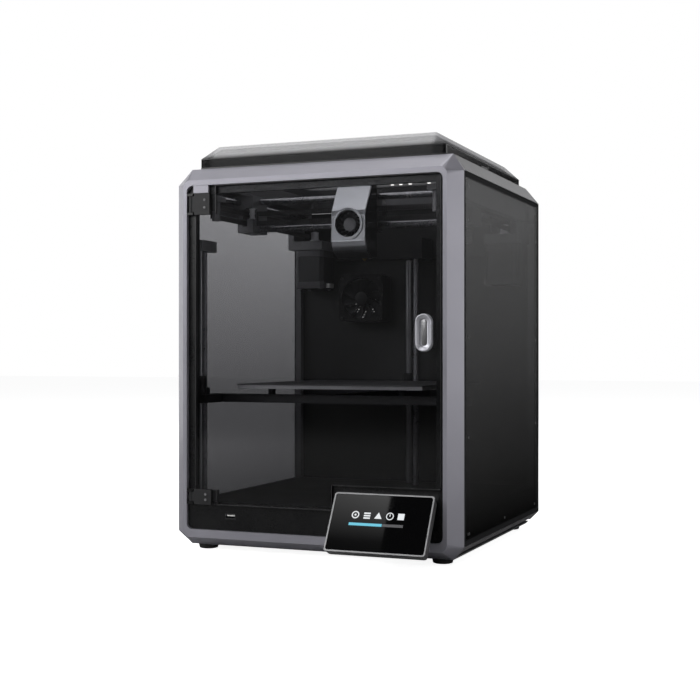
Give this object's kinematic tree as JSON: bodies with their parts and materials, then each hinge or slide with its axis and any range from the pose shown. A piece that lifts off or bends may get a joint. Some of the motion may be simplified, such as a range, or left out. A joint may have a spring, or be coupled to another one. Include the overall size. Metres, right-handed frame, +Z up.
{
  "type": "fdm printer",
  "caption": "Enclosed desktop fdm printer with a belt gantry, moving bed on lead screws, smoked glass door, lift-off clear lid and tilted touch screen.",
  "frame": {"origin": "under the middle of the overall box, on the surface that the feet stand on", "axes": "+Z up, +X to the right seen from the front, +Y to the back"},
  "size_m": [0.355, 0.4, 0.48],
  "materials": {
    "bezel_metal": "satin",
    "dark_plastic": "matt",
    "black_plastic": "satin",
    "black_gloss": "gloss",
    "smoked_glass": "gloss",
    "smoked_panel": "gloss",
    "smoked_clear": "gloss",
    "black_sheet": "satin",
    "screen_metal": "satin",
    "screen_glass": "gloss",
    "sheet_metal": "satin",
    "motor_metal": "satin",
    "belt": "matt",
    "handle_metal": "satin",
    "cover_metal": "satin",
    "brass_alloy": "satin",
    "bed_sheet": "matt",
    "bed_metal": "satin",
    "rubber": "matt",
    "rod_steel": "polished",
    "screw_steel": "satin"
  },
  "bodies": {
    "cabinet": {"base_tray": "dark_plastic", "front_bezel": "bezel_metal", "top_frame": "bezel_metal", "front_inner_frame": "black_plastic", "left_side_panel": "smoked_glass", "right_side_panel": "smoked_panel", "rear_panel": "black_sheet", "chamber_floor": "black_sheet", "side_frame_left": "dark_plastic", "side_frame_right": "dark_plastic", "front_fascia": "black_gloss", "screen_housing": "screen_metal", "screen_glass": "screen_glass", "exhaust_fan_frame": "black_plastic", "rear_duct_cover": "dark_plastic", "power_inlet": "black_plastic", "electronics": "sheet_metal", "z_motor": "motor_metal", "z_belt": "belt", "foot_front_left": "rubber", "foot_front_right": "rubber", "foot_rear_left": "rubber", "foot_rear_right": "rubber", "y_rod_left": "rod_steel", "gantry_motor_left": "motor_metal", "side_belt_left": "belt", "y_rod_right": "rod_steel", "gantry_motor_right": "motor_metal", "side_belt_right": "belt", "z_rod_front_left": "rod_steel", "z_rod_front_right": "rod_steel", "z_rod_rear": "rod_steel"},
    "door": {"door_glass": "smoked_glass", "door_hinge_upper": "black_plastic", "door_hinge_lower": "black_plastic", "door_handle": "handle_metal"},
    "lid": {"lid_cover": "smoked_clear"},
    "gantry": {"xy_joint_left": "dark_plastic", "xy_joint_right": "dark_plastic", "x_rod_lower": "rod_steel", "x_rod_upper": "rod_steel", "gantry_belts": "belt"},
    "toolhead": {"head_carriage": "black_plastic", "head_cover": "cover_metal", "head_shroud": "black_plastic", "hot_end": "brass_alloy"},
    "bed": {"build_plate": "bed_sheet", "heated_bed": "bed_metal", "bed_carriage": "dark_plastic"},
    "front_left_screw": {"leadscrew_front_left": "screw_steel"},
    "front_right_screw": {"leadscrew_front_right": "screw_steel"},
    "rear_screw": {"leadscrew_rear": "screw_steel"},
    "exhaust_rotor": {"exhaust_fan_rotor": "black_plastic"},
    "head_rotor": {"head_fan_rotor": "black_plastic"},
    "rocker": {"power_switch": "black_gloss"},
    "left_pulley": {"drive_pulley_left": "rod_steel"},
    "right_pulley": {"drive_pulley_right": "rod_steel"},
    "z_pulley": {"z_motor_pulley": "rod_steel"},
    "left_idler": {"gantry_idler_left": "rod_steel"},
    "right_idler": {"gantry_idler_right": "rod_steel"}
  },
  "joints": [
    {"name": "door_swing", "type": "hinge", "parent": "cabinet", "child": "door", "pos_m": [-0.1528, -0.1553, 0.242], "axis": [0, 0, -1], "range_deg": [0, 120]},
    {"name": "lid_lift", "type": "slide", "parent": "cabinet", "child": "lid", "axis": [0, 0, 1], "range_m": [0, 0.12]},
    {"name": "gantry_y", "type": "slide", "parent": "cabinet", "child": "gantry", "axis": [0, 1, 0], "range_m": [-0.07, 0.135]},
    {"name": "head_x", "type": "slide", "parent": "gantry", "child": "toolhead", "axis": [1, 0, 0], "range_m": [-0.118, 0.095]},
    {"name": "bed_z", "type": "slide", "parent": "cabinet", "child": "bed", "axis": [0, 0, 1], "range_m": [-0.1, 0.147]},
    {"name": "front_left_screw_spin", "type": "hinge", "parent": "cabinet", "child": "front_left_screw", "pos_m": [-0.1612, -0.109, 0.2], "axis": [0, 0, 1], "range_deg": [-4600, 6700]},
    {"name": "front_right_screw_spin", "type": "hinge", "parent": "cabinet", "child": "front_right_screw", "pos_m": [0.1612, -0.109, 0.2], "axis": [0, 0, 1], "range_deg": [-4600, 6700]},
    {"name": "rear_screw_spin", "type": "hinge", "parent": "cabinet", "child": "rear_screw", "pos_m": [0.02, 0.15, 0.2], "axis": [0, 0, 1], "range_deg": [-4600, 6700]},
    {"name": "z_pulley_spin", "type": "hinge", "parent": "cabinet", "child": "z_pulley", "pos_m": [0.06, -0.109, 0.034], "axis": [0, 0, 1], "range_deg": [-4600, 6700]},
    {"name": "left_pulley_spin", "type": "hinge", "parent": "cabinet", "child": "left_pulley", "pos_m": [-0.1376, 0.17, 0.392], "axis": [0, 0, 1], "range_deg": [-1300, 1300]},
    {"name": "right_pulley_spin", "type": "hinge", "parent": "cabinet", "child": "right_pulley", "pos_m": [0.1376, 0.17, 0.392], "axis": [0, 0, 1], "range_deg": [-1300, 1300]},
    {"name": "left_idler_spin", "type": "hinge", "parent": "gantry", "child": "left_idler", "pos_m": [-0.1366, -0.0285, 0.409], "axis": [0, 0, 1], "range_deg": [-2200, 2200]},
    {"name": "right_idler_spin", "type": "hinge", "parent": "gantry", "child": "right_idler", "pos_m": [0.1366, -0.0285, 0.409], "axis": [0, 0, 1], "range_deg": [-2200, 2200]},
    {"name": "exhaust_fan_spin", "type": "hinge", "parent": "cabinet", "child": "exhaust_rotor", "pos_m": [-0.064, 0.17, 0.309], "axis": [0, 1, 0], "continuous": true},
    {"name": "head_fan_spin", "type": "hinge", "parent": "toolhead", "child": "head_rotor", "pos_m": [0.0115, -0.0615, 0.387], "axis": [0, 1, 0], "continuous": true},
    {"name": "power_rocker", "type": "hinge", "parent": "cabinet", "child": "rocker", "pos_m": [0.097, 0.195, 0.037], "axis": [1, 0, 0], "range_deg": [0, 16]}
  ],
  "couplings": [
    {"joint": "front_left_screw_spin", "follows": "bed_z", "rad_per_m": 785.4},
    {"joint": "front_right_screw_spin", "follows": "bed_z", "rad_per_m": 785.4},
    {"joint": "rear_screw_spin", "follows": "bed_z", "rad_per_m": 785.4},
    {"joint": "z_pulley_spin", "follows": "bed_z", "rad_per_m": 785.4},
    {"joint": "left_pulley_spin", "follows": "gantry_y", "rad_per_m": -157.08},
    {"joint": "right_pulley_spin", "follows": "gantry_y", "rad_per_m": 157.08},
    {"joint": "left_idler_spin", "follows": "head_x", "rad_per_m": -250},
    {"joint": "right_idler_spin", "follows": "head_x", "rad_per_m": 250}
  ]
}
